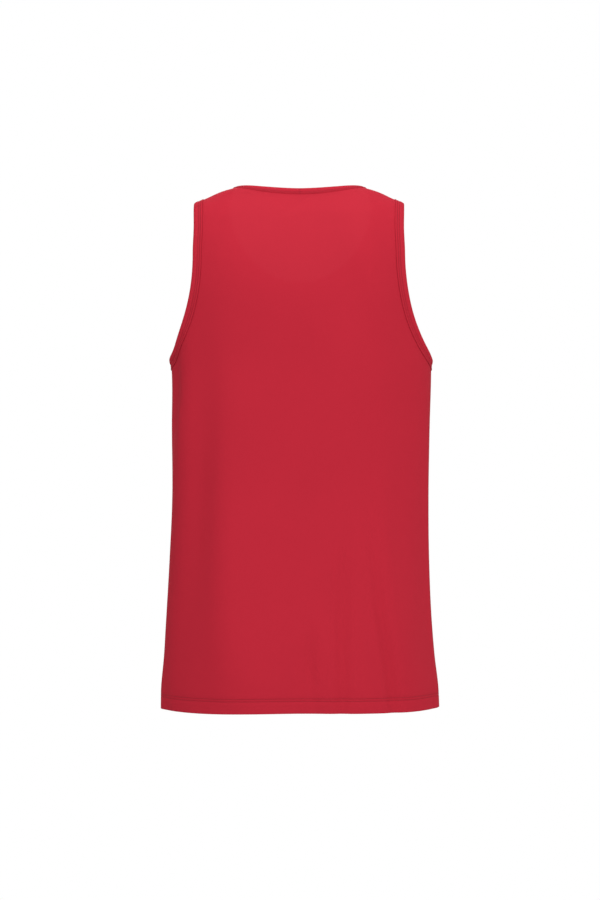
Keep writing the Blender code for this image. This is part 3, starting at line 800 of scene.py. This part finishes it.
def stitching_tree():
    """A tree that lays a bar of thread on each point, along one attribute and out along another."""
    tree = bpy.data.node_groups.new("lay_stitches", "GeometryNodeTree")
    side = tree.interface.new_socket
    side("Places", in_out="INPUT", socket_type="NodeSocketGeometry")
    for label, value in (("Stitch length", STITCH), ("Thread width", THREAD), ("Unevenness", 0.12)):
        side(label, in_out="INPUT", socket_type="NodeSocketFloat").default_value = value
    side("Seed", in_out="INPUT", socket_type="NodeSocketInt").default_value = 7
    side("Thread", in_out="INPUT", socket_type="NodeSocketMaterial")
    side("Stitches", in_out="OUTPUT", socket_type="NodeSocketGeometry")
    given = add_node(tree, "NodeGroupInput").outputs
    half_length = add_node(tree, "ShaderNodeMath", {0: given["Stitch length"], 1: 0.44}, operation="MULTIPLY")
    half_width = add_node(tree, "ShaderNodeMath", {0: given["Thread width"], 1: 0.5}, operation="MULTIPLY")
    bar = add_node(tree, "GeometryNodeMeshUVSphere", {"Segments": 6, "Rings": 4, "Radius": 1.0})
    shape = add_node(
        tree,
        "ShaderNodeCombineXYZ",
        {"X": half_width.outputs[0], "Y": half_length.outputs[0], "Z": half_width.outputs[0]},
    )
    shaped = add_node(tree, "GeometryNodeTransform", {"Geometry": bar.outputs[0], "Scale": shape.outputs[0]})
    along = add_node(tree, "GeometryNodeInputNamedAttribute", {"Name": "along"}, data_type="FLOAT_VECTOR")
    out = add_node(tree, "GeometryNodeInputNamedAttribute", {"Name": "out"}, data_type="FLOAT_VECTOR")
    raised = add_node(tree, "FunctionNodeAlignRotationToVector", {"Vector": out.outputs[0]}, axis="Z")
    turned = add_node(
        tree,
        "FunctionNodeAlignRotationToVector",
        {"Rotation": raised.outputs[0], "Vector": along.outputs[0]},
        axis="Y",
        pivot_axis="Z",
    )
    low = add_node(tree, "ShaderNodeMath", {0: 1.0, 1: given["Unevenness"]}, operation="SUBTRACT")
    high = add_node(tree, "ShaderNodeMath", {0: 1.0, 1: given["Unevenness"]}, operation="ADD")
    size = add_node(
        tree,
        "FunctionNodeRandomValue",
        {"Min": low.outputs[0], "Max": high.outputs[0], "Seed": given["Seed"]},
        data_type="FLOAT",
    )
    laid = add_node(
        tree,
        "GeometryNodeInstanceOnPoints",
        {
            "Points": given["Places"],
            "Instance": shaped.outputs[0],
            "Rotation": turned.outputs[0],
            "Scale": size.outputs[1],
        },
    )
    real = add_node(tree, "GeometryNodeRealizeInstances", {"Geometry": laid.outputs[0]})
    smooth = add_node(tree, "GeometryNodeSetShadeSmooth", {"Geometry": real.outputs[0]})
    done = add_node(tree, "GeometryNodeSetMaterial", {"Geometry": smooth.outputs[0], "Material": given["Thread"]})
    add_node(tree, "NodeGroupOutput", {"Stitches": done.outputs[0]})
    return tree


def sewn(piece, tree, material, **sizes_by_name):
    """Runs the stitching tree on a cloud of places and keeps the stitches as a plain mesh."""
    work = piece.modifiers.new("stitches", "NODES")
    work.node_group = tree
    names = {item.name: item.identifier for item in tree.interface.items_tree if item.in_out == "INPUT"}
    work[names["Thread"]] = material
    for label, value in sizes_by_name.items():
        work[names[label.replace("_", " ")]] = value
    piece.update_tag()
    mesh = bpy.data.meshes.new_from_object(piece.evaluated_get(bpy.context.evaluated_depsgraph_get()))
    piece.modifiers.clear()
    piece.data = mesh
    print(piece.name, "faces:", len(mesh.polygons))
    return piece


stitching = stitching_tree()
print("the tree's inputs:", [item.name for item in stitching.interface.items_tree if item.in_out == "INPUT"])

# %% [markdown]
# ## Sums as shader nodes
#
# A pattern drawn by maths needs many small nodes, and wiring each by hand is hard to read back. This
# class wraps a socket, so that ordinary sums in Python make the nodes.

# %% Shader maths
class Value:
    """A number in a shader tree. Sums and products of such numbers make Math nodes."""

    def __init__(self, tree, socket):
        self.tree = tree
        self.socket = socket

    def math(self, operation, *others):
        node = self.tree.nodes.new("ShaderNodeMath")
        node.operation = operation
        for index, value in enumerate((self, *others)):
            if isinstance(value, Value):
                self.tree.links.new(value.socket, node.inputs[index])
            else:
                node.inputs[index].default_value = value
        return Value(self.tree, node.outputs[0])

    def __add__(self, other):
        return self.math("ADD", other)

    def __sub__(self, other):
        return self.math("SUBTRACT", other)

    def __mul__(self, other):
        return self.math("MULTIPLY", other)

    def __truediv__(self, other):
        return self.math("DIVIDE", other)

    __radd__ = __add__
    __rmul__ = __mul__

    def __rsub__(self, other):
        return self * -1.0 + other

    def fraction(self):
        return self.math("FRACT")

    def size(self):
        return self.math("ABSOLUTE")

    def wave(self):
        return self.math("COSINE")


print("named sums:", [name for name in vars(Value) if not name.startswith("_")])

# %% [markdown]
# ## Knit and thread
#
# Up close the cloth is rows of small V-shaped loops, less than a millimetre each. Drawn on the cut's
# own metres, they follow the cloth round every fold. Their grooves are painted darker as shade, on
# top of a small bump. Real loops would be far too many faces. From further off only a slight
# unevenness of colour remains, on a rough surface that hardly shines. The thread is smoother and
# darker, and catches a little more light.

# %% The knit
WALE = 0.00075
COURSE = 0.00062
# NEEDLE_SHADE is how far painted shade darkens the knit at needle rows, sewn edges and the neck band, and at the
# strips' joins.
NEEDLE_SHADE = 0.24
# GLOW is painted light, added to the back's colour where the front's neck is open behind it, in place of light
# through the thin knit.
GLOW = (0.0060, 0.0024, 0.0026)


def knit(name, colour, groove_shade):
    """Fine knit: V-shaped loops on the cut's metres, painted darker in their grooves as shade, with a slight
    cloudiness and no gloss.
    """
    material = bpy.data.materials.new(name)
    material.use_nodes = True
    tree = material.node_tree
    shader = tree.nodes["Principled BSDF"]
    cut = add_node(tree, "ShaderNodeUVMap", uv_map=KNIT_MAP)
    split = add_node(tree, "ShaderNodeSeparateXYZ", {"Vector": cut.outputs[0]})
    wales = Value(tree, split.outputs["X"]) / WALE
    courses = Value(tree, split.outputs["Y"]) / COURSE
    leg = (wales.fraction() - 0.5).size() * 2.0
    ridge = (leg * math.pi * 2.0 - math.pi).wave() * 0.5 + 0.5
    twist = ((courses + leg * 0.8) * math.pi * 2.0).wave() * 0.5 + 0.5
    loops = ridge * (twist * 0.7 + 0.3)
    place = add_node(tree, "ShaderNodeTexCoord")
    cloud = add_node(
        tree, "ShaderNodeTexNoise", {"Vector": place.outputs["Object"], "Scale": 9.0, "Detail": 3.0}
    )
    fuzz = add_node(
        tree, "ShaderNodeTexNoise", {"Vector": place.outputs["Object"], "Scale": 420.0, "Detail": 2.0}
    )
    # Painted shade: the tone falls in the grooves between the loops, over the bump that gives their relief.
    tone = loops * groove_shade + Value(tree, cloud.outputs[0]) * 0.05 + Value(tree, fuzz.outputs[0]) * 0.06
    shade_join_mask = add_node(tree, "ShaderNodeAttribute", attribute_name=PAINTED_SHADE_AND_JOIN)
    lighter = add_node(tree, "ShaderNodeAttribute", attribute_name=PAINTED_LIGHT_THROUGH)
    # Painted shade: the knit is darkened along needle rows, at a binding's sewn edge and on the neck band's lower
    # part; the same attribute darkens the strips' joins.
    tone = tone - Value(tree, shade_join_mask.outputs["Fac"]) * NEEDLE_SHADE + (0.945 - groove_shade * 0.35)
    shade = add_node(tree, "ShaderNodeVectorMath", {0: colour, "Scale": tone.socket}, operation="SCALE")
    # Painted light: the colour is raised where the front's neck is open behind the back.
    glow = add_node(tree, "ShaderNodeVectorMath", {0: GLOW, "Scale": lighter.outputs["Fac"]}, operation="SCALE")
    seen = add_node(tree, "ShaderNodeVectorMath", {0: shade.outputs[0], 1: glow.outputs[0]}, operation="ADD")
    tree.links.new(seen.outputs[0], shader.inputs["Base Color"])
    rough = Value(tree, fuzz.outputs[0]) * 0.12 + 0.76
    tree.links.new(rough.socket, shader.inputs["Roughness"])
    bump = add_node(tree, "ShaderNodeBump", {"Height": loops.socket, "Strength": 0.35, "Distance": 0.00018})
    tree.links.new(bump.outputs[0], shader.inputs["Normal"])
    shader.inputs["Specular IOR Level"].default_value = 0.04
    return material


print("loops in a centimetre, across and up:", round(0.01 / WALE, 1), round(0.01 / COURSE, 1))


# %% The thread, and cloth on the pieces
def spun(name, colour):
    """Sewing thread: smooth fibre with a faint shine."""
    material = bpy.data.materials.new(name)
    material.use_nodes = True
    tree = material.node_tree
    shader = tree.nodes["Principled BSDF"]
    place = add_node(tree, "ShaderNodeTexCoord")
    fibre = add_node(
        tree, "ShaderNodeTexNoise", {"Vector": place.outputs["Object"], "Scale": 1500.0, "Detail": 2.0}
    )
    tone = Value(tree, fibre.outputs[0]) * 0.3 + 0.85
    shade = add_node(tree, "ShaderNodeVectorMath", {0: colour, "Scale": tone.socket}, operation="SCALE")
    tree.links.new(shade.outputs[0], shader.inputs["Base Color"])
    shader.inputs["Roughness"].default_value = 0.55
    shader.inputs["Specular IOR Level"].default_value = 0.35
    return material


RED = (0.509, 0.0212, 0.0402)
BINDING_RED = (0.505, 0.0206, 0.0394)
THREAD_RED = (0.300, 0.0105, 0.0210)
body_knit = knit("red_knit", RED, 0.16)
binding_knit = knit("red_binding_knit", BINDING_RED, 0.18)
thread = spun("red_thread", THREAD_RED)
for piece in panels.values():
    piece.data.materials.append(body_knit)
for piece in bindings.values():
    piece.data.materials.append(binding_knit)
print("materials:", [material.name for material in (body_knit, binding_knit, thread)])

# %% [markdown]
# ## Sewing
#
# On this garment the hem, the neck and each armhole are held by two rows from a twin needle. The rows
# are read from the pattern at fixed distances from each edge, so they run even on every curve. On a
# binding they show on both sides of the cloth, and each opening's stitches become one mesh.


# %% Sew the hem, the armholes and the neck
def hem_rows(side):
    """The two rows of stitches that hold a panel's hem."""
    across = np.linspace(-QUARTER + 0.001, QUARTER - 0.001, 700)
    rows = []
    for up in HEM_ROWS:
        climb = np.full(len(across), HEM + up)
        normals = outward(side, across, climb)
        rows.append(along_row(cloth(side, across, climb, True) + normals * THREAD * 0.25, normals, PITCH))
    return rows


def binding_stitches(side, opening, edge_lines, puffs, inside):
    """The two rows of stitches on a binding, over the panel or inside it."""
    lines, way = edge_lines
    rows = []
    for distance in opening.rows:
        leaf = at_distances(lines, way, np.array([distance]))[:, 0]
        normals = outward(side, leaf[:, 0], leaf[:, 1])
        heights = np.array([binding_heights(opening, np.array([distance]), puff)[0] for puff in puffs])[:, None]
        points = cloth(side, leaf[:, 0], leaf[:, 1])
        if inside:
            points = points - normals * (WALL + heights + THREAD * 0.2)
            normals = -normals
        else:
            points = points + normals * (heights + THREAD * 0.2)
        rows.append(along_row(points, normals, PITCH))
    return rows


sewing = {}
sewing["hem_stitches"] = hem_rows(BACK) + hem_rows(FRONT)
sewing["neck_stitches"] = []
sewing["left_armhole_stitches"] = []
sewing["right_armhole_stitches"] = []
for side in (BACK, FRONT):
    for inside in (False, True):
        sewing["neck_stitches"] += binding_stitches(side, NECK, neck_ways[side], neck_puffs, inside)
        for hand, word in ((1, "left"), (-1, "right")):
            ways = armhole_ways[hand][side]
            sewing[word + "_armhole_stitches"] += binding_stitches(side, ARMHOLE, ways, armhole_puffs, inside)
stitches = {name: sewn(stitch_cloud(name, rows), stitching, thread) for name, rows in sewing.items()}

# %% [markdown]
# ## Seams inside
#
# Where back and front meet at the sides and shoulders, the two raw edges are sewn together inside and
# overlocked: a narrow allowance lies flat against one panel, bound by slanting threads. It is plain
# sewing that only shows through the openings, so a thin strip and a row of slanted stitches are
# enough.

# %% Side and shoulder allowances
ALLOWANCE = 0.0060
ALLOWANCE_START = 0.0006
ALLOWANCE_OFF = 0.0004
ALLOWANCE_CLOTH = 0.0003
COLUMNS = 5


def allowance(name, side_line, inward):
    """A strip inside a seam: side_line is its pattern line on the back, inward the way it lies."""
    count = len(side_line)
    widths = np.linspace(ALLOWANCE_START, ALLOWANCE, COLUMNS)
    places = side_line[:, None] + np.array(inward) * widths[:, None]
    normals = outward(BACK, places[..., 0], places[..., 1])
    wave = 0.00012 * np.sin(np.arange(count) * 0.9)[:, None, None]
    points = cloth(BACK, places[..., 0], places[..., 1], True) - normals * (CLOTH + ALLOWANCE_OFF + wave)
    firsts = [row * COLUMNS + column for row in range(count - 1) for column in range(COLUMNS - 1)]
    faces = [(first, first + 1, first + COLUMNS + 1, first + COLUMNS) for first in firsts]
    return cloth_piece(name, points.reshape(-1, 3), faces, places.reshape(-1, 2), True), points, normals


seams = {}
overlock_rows = []
for hand, word in ((1, "left"), (-1, "right")):
    climbs = np.linspace(HEM + HEM_DEPTH + 0.002, UNDERARM - ARMHOLE.width - 0.001, 150)
    side_line = np.stack([np.full(len(climbs), hand * QUARTER), climbs], axis=-1)
    strap = strap_edge()
    inside_strap = strap[(strap[:, 0] < strap[0, 0] - 0.0145) & (strap[:, 0] > strap[-1, 0] + 0.0100)]
    shoulder_line_places = evenly(BACK, inside_strap, 24) * (hand, 1)
    for label, line, way in (("side", side_line, (-hand, 0)), ("shoulder", shoulder_line_places, (0, -1))):
        piece, points, normals = allowance(f"{word}_{label}_allowance", line, way)
        thickened(piece, ALLOWANCE_CLOTH)
        piece.data.materials.append(binding_knit)
        seams[piece.name] = piece
        middle = (points[:, 1] + points[:, 3]) / 2 - normals[:, 2] * THREAD * 0.4
        spots, along, outs = along_row(middle, -normals[:, 2], 0.0016)
        along = along / np.linalg.norm(along, axis=1)[:, None]
        overlock_rows.append((spots, np.cross(outs, along) + 0.35 * along, outs))
overlock = sewn(
    stitch_cloud("overlock_threads", overlock_rows), stitching, thread, Stitch_length=0.0052, Thread_width=0.00035
)
print("seam pieces:", sorted(seams))

# The panels' cut sizes are those of their flat pattern and not of the draped mesh, because a size
# that was read from the mesh would always agree with it. Both are printed side by side.

# %% Ride and replace
replaced = {
    "back_panel": panels[BACK],
    "front_panel": panels[FRONT],
    "neck_binding": bindings["neck"],
    "left_armhole_binding": bindings["left"],
    "right_armhole_binding": bindings["right"],
}
for node, piece in replaced.items():
    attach(piece, "root")
    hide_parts(node)
for piece in (*stitches.values(), *seams.values(), overlock):
    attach(piece, "root")



def cut_area(edge):
    """The area inside a closed line of the flat pattern, in square metres."""
    across, climb = edge.T
    return abs(float(across @ np.roll(climb, -1) - climb @ np.roll(across, -1))) / 2


for side, name in ((BACK, "back_cloth"), (FRONT, "front_cloth")):
    cut = cut_area(panel_outline(side))
    print(name, "cut, m2:", round(cut, 4), "draped, m2:", round(areas[name], 4))

# %% [markdown]
# ## Floor and light
#
# The garment hangs in a white studio, as high as a wearer would carry it. An even white field lights
# it from all round, a little stronger from above and from the wearer's right. Four softboxes give it
# form: a key light towards its back, one high at the wearer's left, one above and one in front. One
# strong lamp would be simpler, but it would harden every fold. The camera sees the backdrop itself
# as plain white.

# %% Stage
FLOOR = -1.42
FLOOR_RADIUS = 2.0
LIGHT_BASE = 0.573
LIGHT_FIELD = (-0.200, 0.000, 0.090)


def matte(name, colour):
    """A plain rough surface of one colour."""
    material = bpy.data.materials.new(name)
    material.use_nodes = True
    shader = material.node_tree.nodes["Principled BSDF"]
    shader.inputs["Base Color"].default_value = (*colour, 1)
    shader.inputs["Roughness"].default_value = 0.9
    return material


floor_mesh = bpy.data.meshes.new("floor")
turns = np.arange(96) * math.pi / 48
rim = np.stack([FLOOR_RADIUS * np.cos(turns), FLOOR_RADIUS * np.sin(turns), np.full(96, FLOOR)], axis=-1)
floor_mesh.from_pydata(rim.tolist(), [], [tuple(range(96))])
floor_mesh.materials.append(matte("pale_floor", (0.62, 0.62, 0.62)))
floor = bpy.data.objects.new("floor", floor_mesh)
bpy.context.scene.collection.objects.link(floor)


def studio():
    """A world that lights with a soft field and looks plain white behind the garment."""
    world = bpy.data.worlds.new("white_studio")
    world.use_nodes = True
    tree = world.node_tree
    place = add_node(tree, "ShaderNodeTexCoord")
    towards = add_node(
        tree, "ShaderNodeVectorMath", {0: place.outputs["Generated"], 1: LIGHT_FIELD}, operation="DOT_PRODUCT"
    )
    field = (Value(tree, towards.outputs["Value"]) + LIGHT_BASE).math("MAXIMUM", 0.0)
    seen = Value(tree, add_node(tree, "ShaderNodeLightPath").outputs["Is Camera Ray"])
    strength = field * (1.0 - seen) + seen
    tree.links.new(strength.socket, tree.nodes["Background"].inputs["Strength"])
    tree.nodes["Background"].inputs["Color"].default_value = (1, 1, 1, 1)
    return world


def softbox(name, place, aim, size, power):
    """A large square light that looks at a point."""
    lamp = bpy.data.lights.new(name, "AREA")
    lamp.shape = "SQUARE"
    lamp.size = size
    lamp.energy = power
    light = bpy.data.objects.new(name, lamp)
    light.location = place
    light.rotation_euler = (Vector(aim) - Vector(place)).to_track_quat("-Z", "Y").to_euler()
    light.visible_camera = False
    bpy.context.scene.collection.objects.link(light)


bpy.context.scene.world = studio()
softbox("key", (-0.5, 3.0, 0.2), (0, 0, -0.4), 1.5, 30)
softbox("high", (1.7, 1.2, 1.5), (0, 0, -0.3), 1.2, 12)
softbox("top", (0, 0.3, 1.6), (0, 0, 0), 2.0, 16)
softbox("front", (0.4, -3.0, 0.5), (0, 0, -0.4), 1.5, 34)
print("light field:", LIGHT_FIELD, "on", LIGHT_BASE)

# %% [markdown]
# ## Camera
#
# A garment is pictured level and from some way off with a long lens, so that it keeps its
# proportions. The lens follows from the distance and the height that the picture should take in,
# which is easier to set than a focal length.

# %% Camera
EYE_HEIGHT = -0.357
EYE_DISTANCE = 5.0
PICTURE_HEIGHT = 1.26
lens = bpy.data.cameras.new("camera")
lens.sensor_fit = "VERTICAL"
lens.sensor_height = 36
lens.lens = 36 * EYE_DISTANCE / PICTURE_HEIGHT
camera = bpy.data.objects.new("camera", lens)
camera.location = (0, EYE_DISTANCE, EYE_HEIGHT)
camera.rotation_euler = (math.pi / 2, 0, math.pi)
bpy.context.scene.collection.objects.link(camera)
bpy.context.scene.camera = camera
bpy.context.scene.view_settings.view_transform = "Standard"
bpy.context.scene.view_settings.look = "None"
print("focal length, mm:", round(lens.lens, 1))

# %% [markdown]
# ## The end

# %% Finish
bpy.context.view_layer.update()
